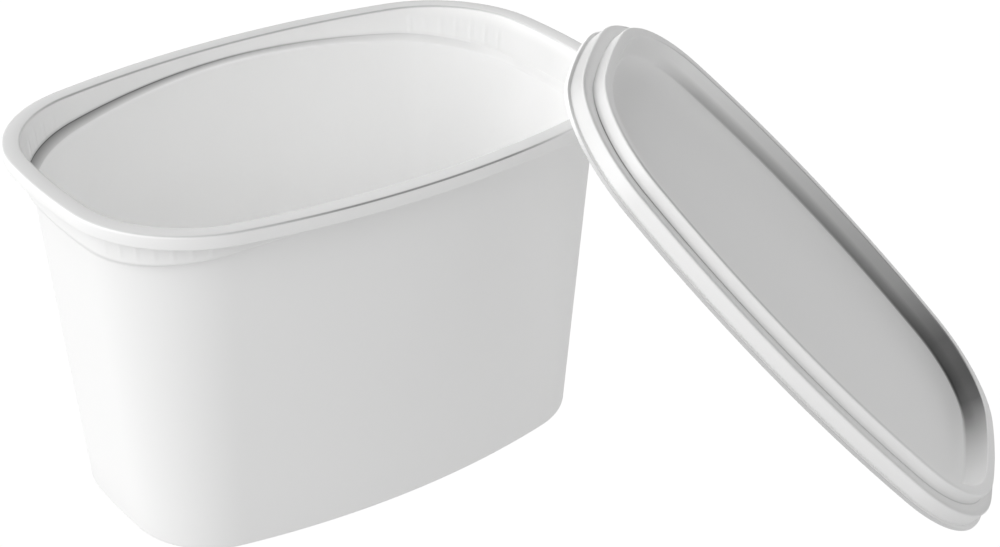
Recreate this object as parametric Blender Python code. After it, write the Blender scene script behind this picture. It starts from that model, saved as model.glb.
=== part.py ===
"""Oval storage tub with its push-on lid leaning against one corner.

Units are metres and +Z is up. The origin is the centre of the tub's flat base,
with X along the tub's length. The tub and the lid are each one thin moulding.
"""

import math

import bmesh
import bpy
from mathutils import Matrix, Vector

# Outline of the tub's rim, as half length, half width and three arc radii
RIM_HEIGHT = 0.1181
RIM_OUTLINE = (0.0950, 0.0640, 0.2807, 0.2200, 0.0430)

# Outline of the tub's outer wall where it meets the base
BASE_OUTLINE = (0.0795, 0.0460, 0.2600, 0.3060, 0.0282)
WALL_FLARE = 0.0097
WALL_THICKNESS = 0.0010
BASE_EDGE_RADIUS = 0.0020

# Rim flange and its turned-down skirt
FLANGE_WIDTH = 0.0058
SKIRT_HEIGHT = 0.0044
SKIRT_THICKNESS = 0.0011
RIM_EDGE_RADIUS = 0.0007

# Stacking collar under the flange: depths at the middle of the sides and at the ends,
# of the collar's foot and of the sloping ledge inside it
COLLAR_DEPTH = (0.0045, 0.0132)
LEDGE_DEPTH = (0.0050, 0.0155)
COLLAR_WAVE_POWER = 1.85
COLLAR_TAPER = 0.0008

# The lid's lip has the rim's outline, and these are distances inside it and below the top face
LID_LOWER_TIER_INSET = 0.0015
LID_STEP_INSET = 0.0017
LID_UPPER_TIER_INSET = 0.0059
LID_TOP_INSET = 0.0061
LID_RIM_FACE_WIDTH = 0.0036
LID_PANEL_INSET = 0.0068
LID_STEP_DROP = 0.0044
LID_LOWER_TIER_DROP = 0.0095
LID_DROP = 0.0106
LID_PANEL_DROP = 0.0072
LID_THICKNESS = 0.0010
LID_EDGE_RADIUS = 0.0006
LID_RING_INSET = 0.0176
LID_RING_WIDTH = 0.0016
LID_RING_DROP = 0.0116

# Where the lid leans: centre of its top face, and its tilt and turn
LID_CENTRE = (0.1117, -0.1025, 0.07465)
LID_ROLL_DEGREES = -4.89
LID_TILT_DEGREES = 44.42
LID_TURN_DEGREES = -50.36

# Points along each quarter of an outline: half side, corner, half end
ARC_STEPS = (6, 8, 5)
FILLET_STEPS = 2


def clear_scene():
    for old_object in list(bpy.data.objects):
        bpy.data.objects.remove(old_object, do_unlink=True)


def plastic(name, colour, roughness):
    material = bpy.data.materials.new(name)
    material.use_nodes = True
    shader = material.node_tree.nodes["Principled BSDF"]
    shader.inputs["Base Color"].default_value = (*colour, 1.0)
    shader.inputs["Roughness"].default_value = roughness
    shader.inputs["Metallic"].default_value = 0.0
    return material


def grown(outline, amount):
    """The parallel outline that lies this far outside."""
    return tuple(size + amount for size in outline)


def arc(centre, radius, start, end, steps):
    """Points from start towards end, the end itself left out."""
    angles = [start + (end - start) * step / steps for step in range(steps)]
    return [centre + radius * Vector((math.cos(a), math.sin(a))) for a in angles]


def oval(outline):
    """Closed outline, counter-clockwise from +X: four shallow arcs and four round corners.

    Each corner arc is tangent to the end arc and the side arc beside it, which
    puts its centre where circles of the two radius differences cross.
    """
    half_length, half_width, side_radius, end_radius, corner_radius = outline
    side_centre = Vector((0.0, half_width - side_radius))
    end_centre = Vector((half_length - end_radius, 0.0))
    to_end = end_centre - side_centre
    spacing = to_end.length
    side_reach = side_radius - corner_radius
    end_reach = end_radius - corner_radius
    along = (side_reach ** 2 - end_reach ** 2 + spacing ** 2) / (2.0 * spacing)
    across = math.sqrt(side_reach ** 2 - along ** 2)
    direction = to_end / spacing
    corner_centre = side_centre + along * direction + across * Vector((direction.y, -direction.x))
    end_angle = math.atan2(*(corner_centre - end_centre).yx)
    side_angle = math.atan2(*(corner_centre - side_centre).yx)
    side_steps, corner_steps, end_steps = ARC_STEPS
    quarter = arc(end_centre, end_radius, 0.0, end_angle, end_steps)
    quarter += arc(corner_centre, corner_radius, end_angle, side_angle, corner_steps)
    quarter += arc(side_centre, side_radius, side_angle, math.pi / 2, side_steps)
    top = Vector((0.0, half_width))
    second = [top] + [Vector((-p.x, p.y)) for p in reversed(quarter[1:])]
    half = quarter + second
    return half + [-p for p in half]


def ring(outline, heights):
    """One loop of points at a height, or at a height for each point."""
    points = oval(outline)
    if isinstance(heights, float):
        heights = [heights] * len(points)
    return [Vector((p.x, p.y, z)) for p, z in zip(points, heights)]


def skin(bm, rings):
    """A closed skin: the first loop is extruded through all the others, then both ends are capped."""
    verts = [bm.verts.new(point) for point in rings[0]]
    edges = [bm.edges.new(pair) for pair in zip(verts, verts[1:] + verts[:1])]
    bmesh.ops.contextual_create(bm, geom=edges)
    for points in rings[1:]:
        extruded = bmesh.ops.extrude_edge_only(bm, edges=edges)["geom"]
        new_verts = {item for item in extruded if isinstance(item, bmesh.types.BMVert)}
        raised = []
        for vert, point in zip(verts, points):
            above = next(e.other_vert(vert) for e in vert.link_edges if e.other_vert(vert) in new_verts)
            above.co = point
            raised.append(above)
        verts = raised
        edges = [bm.edges.get(pair) for pair in zip(verts, verts[1:] + verts[:1])]
    bmesh.ops.contextual_create(bm, geom=edges)


def fillet(width, height, radius, width_sign, height_sign, steps=FILLET_STEPS):
    """Growth and height pairs round an edge, from the wall side to the flat side."""
    pairs = []
    for step in range(steps + 1):
        angle = math.pi / 2 * step / steps
        inward = radius * (1.0 - math.cos(angle))
        onward = radius * (1.0 - math.sin(angle))
        pairs.append((width - width_sign * inward, height - height_sign * onward))
    return pairs


def wavy_heights(outline, depth_range, offset):
    """Heights point by point, from the shallow middle of the sides to the deep ends."""
    at_sides, at_ends = depth_range
    heights = []
    for point in oval(outline):
        share = min(1.0, abs(point.x) / outline[0]) ** COLLAR_WAVE_POWER
        heights.append(RIM_HEIGHT - at_sides - (at_ends - at_sides) * share + offset)
    return heights


def wall_outline(height, inward=0.0):
    flared = grown(BASE_OUTLINE, WALL_FLARE * height / RIM_HEIGHT)
    return grown(flared, -inward)


def finish_object(bm, name, material, place=None):
    bmesh.ops.triangulate(bm, faces=bm.faces[:])
    bmesh.ops.recalc_face_normals(bm, faces=bm.faces[:])
    if place is not None:
        bm.transform(place)
    mesh = bpy.data.meshes.new(name)
    bm.to_mesh(mesh)
    bm.free()
    mesh.materials.append(material)
    mesh.shade_smooth()
    mesh.set_sharp_from_angle(angle=math.radians(35))
    made = bpy.data.objects.new(name, mesh)
    bpy.context.collection.objects.link(made)
    return made


def collar_foot(top_outline, offset):
    """The loop along the foot of the collar, a little inside its top."""
    heights = wavy_heights(top_outline, COLLAR_DEPTH, offset)
    return ring(grown(top_outline, -COLLAR_TAPER), heights)


def wall_top(inward, offset):
    """The loop where the tapered wall meets the ledge, at a height that changes round the tub."""
    high_outline = wall_outline(RIM_HEIGHT, inward)
    heights = wavy_heights(high_outline, LEDGE_DEPTH, offset)
    low_points = oval(wall_outline(0.0, inward))
    points = []
    for low, high, height in zip(low_points, oval(high_outline), heights):
        spot = low.lerp(high, height / RIM_HEIGHT)
        points.append(Vector((spot.x, spot.y, height)))
    return points


def make_tub(material):
    bm = bmesh.new()
    rings = []
    # Outside of the base and wall
    for growth, height in fillet(0.0, 0.0, BASE_EDGE_RADIUS, 1.0, -1.0)[::-1]:
        rings.append(ring(wall_outline(height, -growth), height))
    rings.append(wall_top(0.0, -WALL_THICKNESS))
    # Outside of the collar, up to the underside of the flange
    collar_top = grown(RIM_OUTLINE, WALL_THICKNESS - FLANGE_WIDTH)
    rings.append(collar_foot(collar_top, -WALL_THICKNESS))
    under_flange = RIM_HEIGHT - SKIRT_THICKNESS
    rings.append(ring(collar_top, under_flange))
    # Inside and outside of the skirt
    rings.append(ring(grown(RIM_OUTLINE, -SKIRT_THICKNESS), under_flange))
    rings.append(ring(grown(RIM_OUTLINE, -SKIRT_THICKNESS), RIM_HEIGHT - SKIRT_HEIGHT))
    rings.append(ring(RIM_OUTLINE, RIM_HEIGHT - SKIRT_HEIGHT))
    for growth, height in fillet(0.0, RIM_HEIGHT, RIM_EDGE_RADIUS, 1.0, 1.0):
        rings.append(ring(grown(RIM_OUTLINE, growth), height))
    # Inner edge of the flange and inside of the collar
    for growth, height in fillet(-FLANGE_WIDTH, RIM_HEIGHT, RIM_EDGE_RADIUS, -1.0, 1.0)[::-1]:
        rings.append(ring(grown(RIM_OUTLINE, growth), height))
    rings.append(collar_foot(grown(RIM_OUTLINE, -FLANGE_WIDTH), 0.0))
    rings.append(wall_top(WALL_THICKNESS, 0.0))
    # Inside of the wall down to the floor
    floor_height = WALL_THICKNESS
    for growth, height in fillet(0.0, floor_height, BASE_EDGE_RADIUS, 1.0, -1.0):
        rings.append(ring(wall_outline(height, WALL_THICKNESS - growth), height))
    skin(bm, rings)
    return finish_object(bm, "tub", material)


def lid_place():
    turn = Matrix.Rotation(math.radians(LID_TURN_DEGREES), 4, "Z")
    tilt = Matrix.Rotation(math.radians(LID_TILT_DEGREES), 4, "Y")
    roll = Matrix.Rotation(math.radians(LID_ROLL_DEGREES), 4, "X")
    return Matrix.Translation(LID_CENTRE) @ turn @ tilt @ roll


def make_lid(material):
    """The lid in its own frame has its top face at zero height; it is then leaned over."""
    bm = bmesh.new()
    top_growth = -LID_TOP_INSET
    panel_growth = top_growth - LID_PANEL_INSET
    panel_underside = -LID_PANEL_DROP - LID_THICKNESS
    outside = []
    # Stacking ring under the recessed panel, then the underside of the panel and the raised rim face
    outside.append((-LID_RING_INSET - LID_RING_WIDTH, panel_underside))
    outside.append((-LID_RING_INSET - LID_RING_WIDTH, -LID_RING_DROP))
    outside.append((-LID_RING_INSET, -LID_RING_DROP))
    outside.append((-LID_RING_INSET, panel_underside))
    outside.append((panel_growth, panel_underside))
    outside.append((top_growth - LID_RIM_FACE_WIDTH + LID_THICKNESS, -LID_THICKNESS))
    outside.append((top_growth - LID_THICKNESS * 0.6, -LID_THICKNESS))
    outside.append((-LID_UPPER_TIER_INSET - LID_THICKNESS, -LID_STEP_DROP - LID_THICKNESS))
    outside.append((-LID_STEP_INSET - LID_THICKNESS, -LID_STEP_DROP - LID_THICKNESS))
    outside.append((-LID_THICKNESS, -LID_DROP))
    # Lip, lower tier, step and upper tier from the outside
    outside.append((0.0, -LID_DROP))
    outside.append((-LID_LOWER_TIER_INSET * 0.3, -LID_LOWER_TIER_DROP))
    outside.append((-LID_LOWER_TIER_INSET, -LID_LOWER_TIER_DROP + LID_EDGE_RADIUS))
    outside.append((-LID_STEP_INSET, -LID_STEP_DROP - LID_EDGE_RADIUS))
    outside.append((-LID_STEP_INSET - LID_EDGE_RADIUS, -LID_STEP_DROP))
    outside.append((-LID_UPPER_TIER_INSET, -LID_STEP_DROP))
    outside.append((top_growth, -LID_EDGE_RADIUS))
    outside.append((top_growth - LID_EDGE_RADIUS, 0.0))
    # Raised rim face, recess wall and the panel
    outside.append((top_growth - LID_RIM_FACE_WIDTH, 0.0))
    outside.append((panel_growth + LID_THICKNESS, -LID_PANEL_DROP + LID_EDGE_RADIUS))
    outside.append((panel_growth, -LID_PANEL_DROP))
    rings = [ring(grown(RIM_OUTLINE, growth), height) for growth, height in outside]
    skin(bm, rings)
    return finish_object(bm, "lid", material, lid_place())


def main():
    clear_scene()
    make_tub(plastic("tub_plastic", (0.86, 0.86, 0.85), 0.28))
    make_lid(plastic("lid_plastic", (0.84, 0.84, 0.83), 0.30))


main()
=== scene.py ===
# White oval food tub with its lid leaning on one corner: smooth mouldings in soft studio light
import math

import bpy
import numpy as np
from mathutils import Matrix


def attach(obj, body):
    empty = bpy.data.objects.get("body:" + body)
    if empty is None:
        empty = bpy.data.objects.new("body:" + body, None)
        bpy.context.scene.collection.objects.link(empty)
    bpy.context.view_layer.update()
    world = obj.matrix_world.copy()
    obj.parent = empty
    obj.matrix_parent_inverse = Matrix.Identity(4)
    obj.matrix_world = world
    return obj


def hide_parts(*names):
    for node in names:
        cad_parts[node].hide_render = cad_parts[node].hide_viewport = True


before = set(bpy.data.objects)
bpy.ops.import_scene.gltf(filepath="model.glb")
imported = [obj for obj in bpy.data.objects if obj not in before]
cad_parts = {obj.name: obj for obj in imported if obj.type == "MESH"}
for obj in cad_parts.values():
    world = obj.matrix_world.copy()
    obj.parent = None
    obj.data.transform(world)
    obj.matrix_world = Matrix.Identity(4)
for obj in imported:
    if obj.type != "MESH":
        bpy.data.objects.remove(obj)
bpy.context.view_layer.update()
scene = bpy.context.scene
mm = 0.001

# The rim's outline in mm: half length, half width, then the radii of side, end and corner
rimOutline = (95.0, 64.0, 280.7, 220.0, 43.0)
outlineSteps = (34, 92, 34)  # points along each half end, corner and half side
arcSteps = 5  # spans along each rounded edge of a profile
arcRoom = 0.48  # share of a straight stretch that one rounded edge may take
arcReach = 0.15  # how far a rounded edge counts, before and after its ring's number


def ovalLoop(outline):
    # A quarter is three circular arcs, each centre + radius * (cos a, sin a), joined where
    # their tangents agree; mirrored into the other quarters. Gives points and outward normals.
    halfLength, halfWidth, sideRadius, endRadius, cornerRadius = outline
    sideCentre = np.array([0.0, halfWidth - sideRadius])
    endCentre = np.array([halfLength - endRadius, 0.0])
    spacing = np.linalg.norm(endCentre - sideCentre)
    direction = (endCentre - sideCentre) / spacing
    sideReach = sideRadius - cornerRadius
    endReach = endRadius - cornerRadius
    along = (sideReach**2 - endReach**2 + spacing**2) / (2.0 * spacing)
    across = math.sqrt(sideReach**2 - along**2)
    cornerCentre = sideCentre + along * direction + across * np.array([direction[1], -direction[0]])
    endAngle = math.atan2(*(cornerCentre - endCentre)[::-1])
    sideAngle = math.atan2(*(cornerCentre - sideCentre)[::-1])
    spans = (
        (endCentre, endRadius, 0.0, endAngle),
        (cornerCentre, cornerRadius, endAngle, sideAngle),
        (sideCentre, sideRadius, sideAngle, math.pi / 2),
    )
    points = []
    normals = []
    for (centre, radius, start, end), steps in zip(spans, outlineSteps):
        angles = np.linspace(start, end, steps, endpoint=False)
        facing = np.stack([np.cos(angles), np.sin(angles)], axis=1)
        points.append(centre + radius * facing)
        normals.append(facing)
    points = np.concatenate(points)
    normals = np.concatenate(normals)
    mirror = np.array([-1.0, 1.0])
    points = np.concatenate([points, [[0.0, halfWidth]], points[:0:-1] * mirror])
    normals = np.concatenate([normals, [[0.0, 1.0]], normals[:0:-1] * mirror])
    return np.concatenate([points, -points]), np.concatenate([normals, -normals])


def distancesRound(points):
    # Distance round a closed outline from its first point to each point, and the whole way round
    steps = np.linalg.norm(np.roll(points, -1, axis=0) - points, axis=1)
    return np.cumsum(steps) - steps, steps.sum()


def ring(outline, growth, height):
    # The outline moved out along its normals by growth, at one height or a height for each point
    points, normals = ovalLoop(outline)
    flat = points + normals * growth
    heights = np.broadcast_to(height, len(flat))
    return np.column_stack([flat, heights])


def unit(vectors):
    return vectors / np.maximum(np.linalg.norm(vectors, axis=-1, keepdims=True), 1e-9)


def roundedRun(rings, radii, spanRows):
    # Profile carried round the outline: straight between rings, with an arc of the given radius at
    # each inner one. The arc's centre lies on the bisector at radius / sin(half angle), and its
    # points are the even turn from one tangent point to the other. Rows come out ring by ring, each
    # with its place on the profile: the ring's number, give or take arcReach, on the arcs.
    rings = np.asarray(rings)
    lengths = np.linalg.norm(rings[1:] - rings[:-1], axis=-1)
    rows = [rings[0][None]]
    places = [[0.0]]
    for index in range(1, len(rings) - 1):
        corner = rings[index]
        back = unit(rings[index - 1] - corner)
        onward = unit(rings[index + 1] - corner)
        halfAngle = 0.5 * np.arccos(np.clip((back * onward).sum(-1), -0.999999, 0.999))
        room = arcRoom * np.minimum(lengths[index - 1], lengths[index])
        tangent = np.minimum(radii[index - 1] / np.tan(halfAngle), room)
        radius = tangent * np.tan(halfAngle)
        centre = corner + unit(back + onward) * (radius / np.sin(halfAngle))[:, None]
        first = corner + back * tangent[:, None]
        last = corner + onward * tangent[:, None]
        sweep = np.maximum(math.pi - 2.0 * halfAngle, 1e-4)[None, :, None]
        share = np.linspace(0.0, 1.0, arcSteps + 1)
        turned = share[:, None, None] * sweep
        fromFirst = np.sin(sweep - turned) * (first - centre)
        fromLast = np.sin(turned) * (last - centre)
        along = np.linspace(0.0, 1.0, spanRows[index - 1] + 1)[1:-1]
        straight = along[:, None, None]
        rows.append(rows[-1][-1] * (1.0 - straight) + first * straight)
        rows.append(centre + (fromFirst + fromLast) / np.sin(sweep))
        places.append(places[-1][-1] * (1.0 - along) + (index - arcReach) * along)
        places.append(index - arcReach + 2.0 * arcReach * share)
    along = np.linspace(0.0, 1.0, spanRows[-1] + 1)[1:]
    straight = along[:, None, None]
    rows.append(rows[-1][-1] * (1.0 - straight) + rings[-1] * straight)
    places.append(places[-1][-1] * (1.0 - along) + (len(rings) - 1) * along)
    return np.concatenate(rows), np.concatenate(places)


def paintedShadeOf(places, marks):
    # Painted shade for each row and outline point: a factor on the plastic's colour that stands in
    # for shade in folds, on edges and on flat faces. Each mark darkens by its depth at a place on
    # the profile times its strength at a share of the way round, from the end at +X.
    points, _ = ovalLoop(rimOutline)
    distances, wholeWay = distancesRound(points)
    around = distances / wholeWay
    paintedShade = np.ones((len(places), len(points)))
    for mark in marks.values():
        depth = np.interp(places, mark["places"], mark["depths"], left=0.0, right=0.0)
        strength = np.interp(around, mark["around"], mark["strengths"])
        paintedShade *= 1.0 - depth[:, None] * strength
    return paintedShade


def closedSkin(name, rows, paintedShade, capShares, material):
    # Rows of points joined into quads, and each end closed by rows that shrink towards its centre
    # by the given shares, then by a fan. The painted shade goes with the points as an attribute.
    def towardsCentre(row):
        centre = row.mean(axis=0)
        return centre, np.stack([centre + (row - centre) * share for share in capShares])

    startCentre, startRows = towardsCentre(rows[0])
    endCentre, endRows = towardsCentre(rows[-1])
    grid = np.concatenate([startRows[::-1], rows, endRows])
    rowCount, around = grid.shape[:2]
    verts = np.concatenate([grid.reshape(-1, 3), [startCentre, endCentre]]) * mm
    corner = np.arange(rowCount * around).reshape(rowCount, around)
    beside = np.roll(corner, -1, axis=1)
    quads = np.stack([corner[:-1], beside[:-1], beside[1:], corner[1:]], axis=-1).reshape(-1, 4)
    startFan = np.stack([beside[0], corner[0], np.full(around, rowCount * around)], axis=-1)
    endFan = np.stack([corner[-1], beside[-1], np.full(around, rowCount * around + 1)], axis=-1)
    mesh = bpy.data.meshes.new(name)
    mesh.from_pydata(verts.tolist(), [], quads.tolist() + startFan.tolist() + endFan.tolist())
    mesh.shade_smooth()
    mesh.materials.append(material)
    caps = np.ones((len(capShares), around))
    paintedShade = np.concatenate([caps, paintedShade, caps])
    levels = mesh.attributes.new("paintedShade", "FLOAT", "POINT")
    levels.data.foreach_set("value", np.append(paintedShade, [1.0, 1.0]))
    piece = bpy.data.objects.new(name, mesh)
    scene.collection.objects.link(piece)
    return piece


print("materials")

# Shared by both pieces: the melt's clouds, the grain's octaves and the bump's distance in metres
moulding = {
    "cloudScale": 28.0,
    "cloudDetail": 3.0,
    "grainDetail": 2.0,
    "glossVariation": 0.08,
    "bumpDistance": 0.0002,
}
tubFinish = {
    "colour": (0.93, 0.93, 0.927),
    "variation": 0.012,
    "roughness": 0.33,
    "grainSize": 900.0,
    "grainDepth": 0.04,
    "specular": 0.5,
}
lidFinish = {
    "colour": (0.9, 0.9, 0.897),
    "variation": 0.014,
    "roughness": 0.35,
    "grainSize": 1100.0,
    "grainDepth": 0.05,
    "specular": 0.5,
}


def mouldedPlasticGroup():
    # Moulded plastic: slow cloudy tone from the flow of the melt, fine grain in gloss and surface,
    # and painted shade: the colour is darker where the piece's painted-shade attribute is below 1
    group = bpy.data.node_groups.new("mouldedPlastic", "ShaderNodeTree")
    for label, kind, value in (
        ("Colour", "NodeSocketColor", (0.8, 0.8, 0.8, 1.0)),
        ("Variation", "NodeSocketFloat", 0.01),
        ("Roughness", "NodeSocketFloat", 0.3),
        ("Grain Size", "NodeSocketFloat", 900.0),
        ("Grain Depth", "NodeSocketFloat", 0.05),
    ):
        socket = group.interface.new_socket(label, in_out="INPUT", socket_type=kind)
        socket.default_value = value
    group.interface.new_socket("Colour", in_out="OUTPUT", socket_type="NodeSocketColor")
    group.interface.new_socket("Roughness", in_out="OUTPUT", socket_type="NodeSocketFloat")
    group.interface.new_socket("Normal", in_out="OUTPUT", socket_type="NodeSocketVector")
    nodes = group.nodes
    link = group.links.new
    inputs = nodes.new("NodeGroupInput")
    outputs = nodes.new("NodeGroupOutput")
    place = nodes.new("ShaderNodeTexCoord")
    clouds = nodes.new("ShaderNodeTexNoise")
    clouds.inputs["Scale"].default_value = moulding["cloudScale"]
    clouds.inputs["Detail"].default_value = moulding["cloudDetail"]
    link(place.outputs["Object"], clouds.inputs["Vector"])
    grain = nodes.new("ShaderNodeTexNoise")
    grain.inputs["Detail"].default_value = moulding["grainDetail"]
    link(place.outputs["Object"], grain.inputs["Vector"])
    link(inputs.outputs["Grain Size"], grain.inputs["Scale"])
    # Painted shade from the piece's attribute, which darkens the colour where shade would fall
    paintedShade = nodes.new("ShaderNodeAttribute")
    paintedShade.attribute_name = "paintedShade"
    centred = nodes.new("ShaderNodeMath")
    centred.operation = "SUBTRACT"
    centred.inputs[1].default_value = 0.5
    link(clouds.outputs["Fac"], centred.inputs[0])
    swing = nodes.new("ShaderNodeMath")
    swing.operation = "MULTIPLY_ADD"
    swing.inputs[2].default_value = 1.0
    link(centred.outputs[0], swing.inputs[0])
    link(inputs.outputs["Variation"], swing.inputs[1])
    toneTimesPaintedShade = nodes.new("ShaderNodeMath")
    toneTimesPaintedShade.operation = "MULTIPLY"
    link(swing.outputs[0], toneTimesPaintedShade.inputs[0])
    link(paintedShade.outputs["Fac"], toneTimesPaintedShade.inputs[1])
    colourToneAndPaintedShade = nodes.new("ShaderNodeVectorMath")
    colourToneAndPaintedShade.operation = "SCALE"
    link(inputs.outputs["Colour"], colourToneAndPaintedShade.inputs[0])
    link(toneTimesPaintedShade.outputs[0], colourToneAndPaintedShade.inputs["Scale"])
    link(colourToneAndPaintedShade.outputs["Vector"], outputs.inputs["Colour"])
    glossSwing = nodes.new("ShaderNodeMath")
    glossSwing.operation = "MULTIPLY_ADD"
    glossSwing.inputs[1].default_value = moulding["glossVariation"]
    link(centred.outputs[0], glossSwing.inputs[0])
    link(inputs.outputs["Roughness"], glossSwing.inputs[2])
    link(glossSwing.outputs[0], outputs.inputs["Roughness"])
    bump = nodes.new("ShaderNodeBump")
    bump.inputs["Distance"].default_value = moulding["bumpDistance"]
    link(inputs.outputs["Grain Depth"], bump.inputs["Strength"])
    link(grain.outputs["Fac"], bump.inputs["Height"])
    link(bump.outputs["Normal"], outputs.inputs["Normal"])
    return group


plasticGroup = mouldedPlasticGroup()


def plasticMaterial(name, finish):
    material = bpy.data.materials.new(name)
    material.use_nodes = True
    nodes = material.node_tree.nodes
    link = material.node_tree.links.new
    shader = nodes["Principled BSDF"]
    surface = nodes.new("ShaderNodeGroup")
    surface.node_tree = plasticGroup
    surface.inputs["Colour"].default_value = (*finish["colour"], 1.0)
    surface.inputs["Variation"].default_value = finish["variation"]
    surface.inputs["Roughness"].default_value = finish["roughness"]
    surface.inputs["Grain Size"].default_value = finish["grainSize"]
    surface.inputs["Grain Depth"].default_value = finish["grainDepth"]
    link(surface.outputs["Colour"], shader.inputs["Base Color"])
    link(surface.outputs["Roughness"], shader.inputs["Roughness"])
    link(surface.outputs["Normal"], shader.inputs["Normal"])
    shader.inputs["Specular IOR Level"].default_value = finish["specular"]
    return material


tubPlastic = plasticMaterial("tubPlastic", tubFinish)
lidPlastic = plasticMaterial("lidPlastic", lidFinish)

print("tub")

# Sizes in mm. The base has an outline like the rim's, and the pairs give a depth below the rim at
# mid side and at the ends.
tub = {
    "rimHeight": 118.1,
    "baseOutline": (79.5, 46.0, 260.0, 306.0, 28.2),
    "wallFlare": 9.7,
    "wall": 1.0,
    "flangeWidth": 5.8,
    "skirtHeight": 4.4,
    "skirt": 1.1,
    "collarDepth": (4.5, 13.2),
    "ledgeDepth": (5.0, 15.5),
    "wavePower": 1.85,
    "collarTaper": 0.8,
    "footRing": 5.0,
    "footRecess": 0.5,
    "footSlope": 0.8,
    "underBaseReach": 8.0,
    "insideBaseReach": 9.0,
    "ribSpacing": 6.2,
    "ribWidth": 2.6,
    "ribHeight": 0.3,
    "ribsEachSide": 3,
    "ribFootFade": 0.15,  # share of the collar's height over which a rib grows from its foot
    "ribTop": 0.8,  # share of the collar's height at which a rib has faded out
    "ribTopFade": 0.35,
    "collarSlack": 0.1,  # how far off the collar's faces a point still moves with a rib
    "capShares": (0.75, 0.45, 0.15),
}

# Painted shade that darkens the tub's own colour beyond what the light does: in the fold and on the
# ledge under the collar, on the flange top and along its edges, and at the +X end. Each mark has
# ring numbers in makeTub with depths, and shares of the way round from the +X end with strengths.
tubPaintedShade = {
    "ledgeFold": {
        "places": (11.8, 11.95, 12.05, 12.2),
        "depths": (0.0, 1.0, 1.0, 0.0),
        "around": (0.0, 0.1, 0.3, 0.4, 0.8, 1.0),
        "strengths": (0.0, 0.1, 0.8, 0.9, 0.3, 0.0),
    },
    "ledge": {
        "places": (12.05, 12.2, 12.6, 12.95),
        "depths": (0.0, 1.0, 0.8, 0.0),
        "around": (0.0, 0.15, 0.35, 0.45, 0.6, 1.0),
        "strengths": (0.0, 0.1, 0.75, 0.7, 0.3, 0.0),
    },
    "rightEnd": {
        "places": (11.15, 11.4, 12.0, 12.15, 12.9, 13.1, 13.6),
        "depths": (0.0, 1.0, 1.0, 2.0, 2.0, 1.0, 0.0),
        "around": (0.0, 0.05, 0.12, 0.9, 1.0),
        "strengths": (0.12, 0.1, 0.0, 0.0, 0.12),
    },
    "flangeTop": {
        "places": (9.97, 10.05, 10.9, 11.05),
        "depths": (0.0, 1.0, 1.0, 0.0),
        "around": (0.0, 0.2, 0.5, 0.85, 1.0),
        "strengths": (0.27, 0.4, 0.45, 0.25, 0.27),
    },
    "flangeInnerEdge": {
        "places": (10.88, 10.97, 11.03, 11.12),
        "depths": (0.0, 1.0, 1.0, 0.0),
        "around": (0.0, 0.15, 0.36, 0.41, 0.9, 1.0),
        "strengths": (0.3, 0.4, 0.5, 0.0, 0.0, 0.3),
    },
    "flangeOuterEdge": {
        "places": (9.91, 9.97, 10.03, 10.09),
        "depths": (0.0, 1.0, 1.0, 0.0),
        "around": (0.6, 0.7, 0.8, 0.85),
        "strengths": (0.0, 0.65, 0.65, 0.0),
    },
}


def waveHeights(points, halfLength, depths):
    # Depth grows from mid side to the ends as (|x| / half length) to a power
    share = np.minimum(1.0, np.abs(points[:, 0]) / halfLength) ** tub["wavePower"]
    return tub["rimHeight"] - depths[0] - (depths[1] - depths[0]) * share


def wallRing(height, inward):
    return ring(tub["baseOutline"], tub["wallFlare"] * height / tub["rimHeight"] - inward, height)


def wallTopRing(inward, offset):
    # Where the tapered wall meets the ledge: straight up the wall to the wavy height
    high = wallRing(tub["rimHeight"], inward)
    low = wallRing(0.0, inward)
    heights = waveHeights(high, high[:, 0].max(), tub["ledgeDepth"]) + offset
    return low + (high - low) * (heights / tub["rimHeight"])[:, None]


def collarFootRing(growth, offset):
    top = ring(rimOutline, growth, 0.0)
    heights = waveHeights(top, top[:, 0].max(), tub["collarDepth"]) + offset
    return ring(rimOutline, growth - tub["collarTaper"], heights)


def addRibs(rows):
    # Low upright ribs round each corner of the collar. Each stands out from both faces by its
    # height times cos^2 of the distance along the outline from its middle, where half its width is
    # a quarter turn, and fades out at top and foot.
    base, normals = ovalLoop(rimOutline)
    around, wholeWay = distancesRound(base)
    half = len(base) // 2
    middle = outlineSteps[0] + outlineSteps[1] // 2
    middles = around[[middle, half - middle, half + middle, 2 * half - middle]]
    apart = np.abs(around[:, None] - middles)
    apart = np.minimum(apart, wholeWay - apart).min(axis=1)
    nearest = np.round(apart / tub["ribSpacing"])
    offCentre = np.abs(apart - nearest * tub["ribSpacing"]) / (0.5 * tub["ribWidth"])
    crest = np.cos(0.5 * math.pi * np.minimum(1.0, offCentre)) ** 2
    crest = np.where(nearest <= tub["ribsEachSide"], crest, 0.0)
    growth = ((rows[..., :2] - base) * normals).sum(axis=-1)
    collarMiddle = -tub["flangeWidth"] + 0.5 * (tub["wall"] - tub["collarTaper"])
    collarHalf = 0.5 * (tub["wall"] + tub["collarTaper"]) + tub["collarSlack"]
    onCollar = np.abs(growth - collarMiddle) < collarHalf
    foot = waveHeights(base, base[:, 0].max(), tub["collarDepth"])
    top = tub["rimHeight"] - tub["skirt"]
    rise = (rows[..., 2] - foot) / (top - foot)
    growIn = np.clip(rise / tub["ribFootFade"], 0.0, 1.0)
    fadeOut = np.clip((tub["ribTop"] - rise) / tub["ribTopFade"], 0.0, 1.0)
    reach = onCollar * growIn * fadeOut * crest * tub["ribHeight"]
    push = reach * np.sign(growth - collarMiddle)
    rows = rows.copy()
    rows[..., :2] += push[..., None] * normals
    return rows


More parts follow.
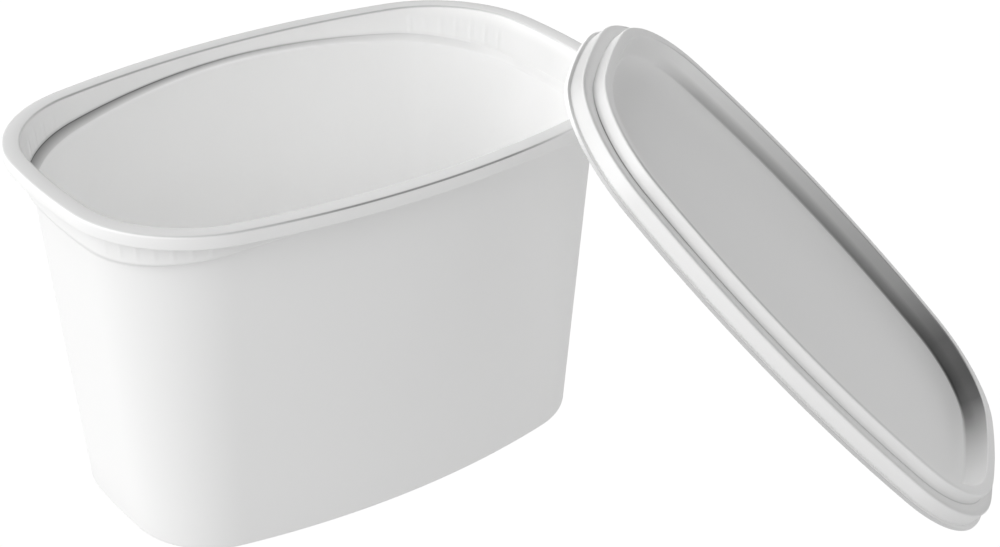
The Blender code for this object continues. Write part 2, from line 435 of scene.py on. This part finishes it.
def makeTub():
    wall = tub["wall"]
    rimTop = tub["rimHeight"]
    flangeInner = -tub["flangeWidth"]
    collarOuter = flangeInner + wall
    underFlange = rimTop - tub["skirt"]
    skirtInner = -tub["skirt"]
    skirtFoot = rimTop - tub["skirtHeight"]
    base = tub["baseOutline"]
    rings = [
        ring(base, -tub["footRing"] - tub["underBaseReach"], tub["footRecess"]),
        ring(base, -tub["footRing"], tub["footRecess"]),
        ring(base, -tub["footRing"] + tub["footSlope"], 0.0),
        wallRing(0.0, 0.0),
        wallTopRing(0.0, -wall),
        collarFootRing(collarOuter, -wall),
        ring(rimOutline, collarOuter, underFlange),
        ring(rimOutline, skirtInner, underFlange),
        ring(rimOutline, skirtInner, skirtFoot),
        ring(rimOutline, 0.0, skirtFoot),
        ring(rimOutline, 0.0, rimTop),
        ring(rimOutline, flangeInner, rimTop),
        collarFootRing(flangeInner, 0.0),
        wallTopRing(wall, 0.0),
        wallRing(wall, wall),
        ring(base, -wall - tub["insideBaseReach"], wall),
    ]
    radii = (1.0, 0.6, 1.6, 1.1, 1.2, 0.8, 0.4, 0.35, 0.45, 0.9, 0.8, 0.5, 0.9, 2.6)
    spanRows = (1, 1, 1, 8, 1, 7, 1, 2, 1, 2, 2, 9, 1, 8, 1)
    rows, places = roundedRun(rings, radii, spanRows)
    # Painted shade in folds, on edges and on the flange, for each row and outline point
    paintedShade = paintedShadeOf(places, tubPaintedShade)
    return closedSkin("tubShell", addRibs(rows), paintedShade, tub["capShares"], tubPlastic)


tubShell = makeTub()
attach(tubShell, "root")
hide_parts("tub")

print("lid")

# Sizes in mm and degrees. The profile runs from the underside of the panel round the lip to the
# panel's top, and its growth is measured from the rim's outline.
lid = {
    "profile": (
        # growth, height, edge radius
        (-26.0, -8.2, 0.0),
        (-19.2, -8.2, 0.6),
        (-19.2, -11.6, 0.5),
        (-17.6, -11.6, 0.5),
        (-17.6, -8.2, 0.6),
        (-13.0, -8.2, 1.2),
        (-8.9, -1.0, 0.5),
        (-6.7, -1.0, 0.4),
        (-6.9, -5.4, 0.5),
        (-2.7, -5.4, 0.4),
        (-1.0, -10.6, 0.3),
        (0.0, -10.6, 0.3),
        (-0.3, -9.4, 0.35),
        (-1.5, -9.2, 0.3),
        (-1.7, -4.4, 0.6),
        (-5.9, -4.4, 0.4),
        (-6.1, 0.0, 0.6),
        (-9.7, 0.0, 0.5),
        (-12.3, -7.2, 1.2),
        (-26.0, -7.2, 0.0),
    ),
    "centre": (111.7, -102.5, 74.65),
    "roll": -4.89,
    "tilt": 44.42,
    "turn": -50.36,
    "capShares": (0.8, 0.5, 0.2),
}

# Painted shade on the lid's colour in the same way, darkest on the recess wall near the +X end; the
# places are row numbers in its profile
lidPaintedShade = {
    "recessWall": {
        "places": (16.95, 17.15, 17.9, 18.05, 18.15),
        "depths": (0.0, 1.0, 1.0, 0.4, 0.0),
        "around": (0.0, 0.06, 0.12, 0.17, 0.37, 0.94, 1.0),
        "strengths": (0.4, 0.95, 0.9, 0.6, 0.0, 0.0, 0.4),
    },
    "recessFoot": {
        "places": (17.5, 17.75, 17.97, 18.15),
        "depths": (0.0, 0.8, 1.0, 0.0),
        "around": (0.02, 0.07, 0.35, 0.4),
        "strengths": (0.0, 0.75, 0.4, 0.0),
    },
    "rimInnerEdge": {
        "places": (16.8, 16.95, 17.03, 17.12),
        "depths": (0.0, 1.0, 1.0, 0.0),
        "around": (0.06, 0.11, 0.37, 0.42),
        "strengths": (0.0, 0.8, 0.4, 0.0),
    },
    "rimOuterEdge": {
        "places": (15.95, 16.1, 16.5),
        "depths": (0.0, 1.0, 0.0),
        "around": (0.56, 0.62, 0.8, 0.92),
        "strengths": (0.0, 0.45, 0.3, 0.0),
    },
    "upperTierFold": {
        "places": (14.85, 14.97, 15.03, 15.2),
        "depths": (0.0, 1.0, 1.0, 0.0),
        "around": (0.0, 0.5, 0.58, 0.7, 1.0),
        "strengths": (0.15, 0.15, 0.8, 0.5, 0.15),
    },
    "step": {
        "places": (13.9, 14.1, 14.3, 14.9, 15.1),
        "depths": (0.0, 1.5, 0.7, 0.7, 0.0),
        "around": (0.5, 0.6, 1.0),
        "strengths": (0.05, 0.25, 0.05),
    },
    "tierWalls": {
        "places": (11.9, 12.2, 13.85, 14.1, 14.9, 15.15, 15.9, 16.05),
        "depths": (0.0, 1.0, 1.0, 0.0, 0.0, 1.0, 1.0, 0.0),
        "around": (0.42, 0.5, 0.55, 0.62),
        "strengths": (0.0, 0.35, 0.4, 0.0),
    },
    "lip": {
        "places": (10.8, 11.0, 12.0, 12.15),
        "depths": (0.0, 1.0, 1.0, 0.0),
        "around": (0.56, 0.6, 0.85, 0.95),
        "strengths": (0.0, 0.3, 0.3, 0.0),
    },
}


def rotation(angle, first, second):
    # Matrix of a turn by an angle in degrees that carries the first axis towards the second
    matrix = np.eye(3)
    matrix[first, first] = matrix[second, second] = math.cos(math.radians(angle))
    matrix[second, first] = math.sin(math.radians(angle))
    matrix[first, second] = -matrix[second, first]
    return matrix


def leaned(rows):
    # A roll about X, then a tilt about Y, then a turn about Z, then the move to the lid's place
    rolled = rotation(lid["roll"], 1, 2)
    tilted = rotation(lid["tilt"], 2, 0)
    swung = rotation(lid["turn"], 0, 1)
    return rows @ (swung @ tilted @ rolled).T + np.array(lid["centre"])


def makeLid():
    profile = lid["profile"]
    rings = [ring(rimOutline, growth, height) for growth, height, _ in profile]
    radii = [radius for _, _, radius in profile[1:-1]]
    spanRows = (1, 1, 1, 1, 1, 2, 1, 2, 1, 2, 1, 1, 1, 3, 2, 3, 2, 4, 2)
    rows, places = roundedRun(rings, radii, spanRows)
    # Painted shade in the recess, on the tiers, the lip and the edges, for each row and outline
    # point
    paintedShade = paintedShadeOf(places, lidPaintedShade)
    return closedSkin("lidShell", leaned(rows), paintedShade, lid["capShares"], lidPlastic)


lidShell = makeLid()
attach(lidShell, "root")
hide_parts("lid")

print("floor, light and camera")

# Metres and degrees, the lens in mm; the levels are the floor's light and what the camera sees
studio = {
    "floorSize": 9.0,
    "floorGlow": 0.68,
    "floorSeen": 1.02,
    "cameraTurn": -36.126,
    "cameraRise": 29.087,
    "cameraDistance": 0.73618,
    "cameraTarget": (0.055765, -0.017326, 0.04861),
    "lens": 80.57,
    "clipStart": 0.01,
    "boxHalfWidth": 42.0,
}

# Soft boxes at great distance: turn and rise in degrees of the direction that each comes from,
# and its strength. Turn 0 is behind the tub (+Y) and 90 is at its right.
softBoxes = {
    "lowLeft": (-90.0, 8.0, 1.35),
    "lowBack": (0.0, 8.0, 0.65),
    "back": (0.0, 36.0, 2.55),
    "front": (180.0, 36.0, 0.35),
    "frontRight": (135.0, 36.0, 0.9),
    "backLeft": (-45.0, 36.0, 1.85),
    "right": (90.0, 36.0, 0.6),
    "frontLeft": (-135.0, 36.0, 1.0),
    "left": (-90.0, 36.0, 1.6),
}


def directionTo(turn, rise, ahead):
    # Unit direction at a rise above the floor and a turn from +Y, or from -Y where ahead is -1
    level = math.cos(rise)
    return np.array([math.sin(turn) * level, ahead * math.cos(turn) * level, math.sin(rise)])


def makeFloor():
    # A glowing white plane, brighter to the camera than to the pieces that it lights
    half = studio["floorSize"] / 2
    corners = [(-half, -half, 0), (half, -half, 0), (half, half, 0), (-half, half, 0)]
    mesh = bpy.data.meshes.new("floor")
    mesh.from_pydata(corners, [], [(0, 1, 2, 3)])
    floor = bpy.data.objects.new("floor", mesh)
    scene.collection.objects.link(floor)
    material = bpy.data.materials.new("floorWhite")
    material.use_nodes = True
    nodes = material.node_tree.nodes
    link = material.node_tree.links.new
    nodes.clear()
    rays = nodes.new("ShaderNodeLightPath")
    level = nodes.new("ShaderNodeMix")
    level.inputs["A"].default_value = studio["floorGlow"]
    level.inputs["B"].default_value = studio["floorSeen"]
    glow = nodes.new("ShaderNodeEmission")
    output = nodes.new("ShaderNodeOutputMaterial")
    link(rays.outputs["Is Camera Ray"], level.inputs["Factor"])
    link(level.outputs["Result"], glow.inputs["Strength"])
    link(glow.outputs["Emission"], output.inputs["Surface"])
    mesh.materials.append(material)
    return floor


def makeWorld():
    # Light from each direction is the sum of the boxes, each fading out smoothly from its middle.
    # The camera itself sees plain white.
    world = bpy.data.worlds.new("studioWorld")
    scene.world = world
    world.use_nodes = True
    nodes = world.node_tree.nodes
    link = world.node_tree.links.new
    nodes.clear()
    place = nodes.new("ShaderNodeTexCoord")
    total = None
    for name, (turn, rise, strength) in softBoxes.items():
        facing = nodes.new("ShaderNodeVectorMath")
        facing.operation = "DOT_PRODUCT"
        facing.inputs[1].default_value = directionTo(*np.radians((turn, rise)), 1)
        link(place.outputs["Generated"], facing.inputs[0])
        fade = nodes.new("ShaderNodeMapRange")
        fade.name = name
        fade.interpolation_type = "SMOOTHSTEP"
        fade.inputs["From Min"].default_value = math.cos(math.radians(studio["boxHalfWidth"]))
        fade.inputs["From Max"].default_value = 1.0
        fade.inputs["To Max"].default_value = strength
        link(facing.outputs["Value"], fade.inputs["Value"])
        if total is None:
            total = fade.outputs["Result"]
            continue
        added = nodes.new("ShaderNodeMath")
        link(total, added.inputs[0])
        link(fade.outputs["Result"], added.inputs[1])
        total = added.outputs[0]
    rays = nodes.new("ShaderNodeLightPath")
    level = nodes.new("ShaderNodeMix")
    level.inputs["B"].default_value = studio["floorSeen"]
    background = nodes.new("ShaderNodeBackground")
    output = nodes.new("ShaderNodeOutputWorld")
    link(rays.outputs["Is Camera Ray"], level.inputs["Factor"])
    link(total, level.inputs["A"])
    link(level.outputs["Result"], background.inputs["Strength"])
    link(background.outputs["Background"], output.inputs["Surface"])


def makeCamera():
    # The camera looks at its target from the front, turned and raised by its two angles
    turn, rise = np.radians((studio["cameraTurn"], studio["cameraRise"]))
    back = directionTo(turn, rise, -1)
    camera = bpy.data.objects.new("camera", bpy.data.cameras.new("camera"))
    camera.data.lens = studio["lens"]
    camera.data.clip_start = studio["clipStart"]
    camera.location = np.array(studio["cameraTarget"]) + back * studio["cameraDistance"]
    camera.rotation_euler = (math.pi / 2 - rise, 0.0, turn)
    scene.collection.objects.link(camera)
    scene.camera = camera


makeFloor()
makeWorld()
makeCamera()
scene.view_settings.view_transform = "Standard"
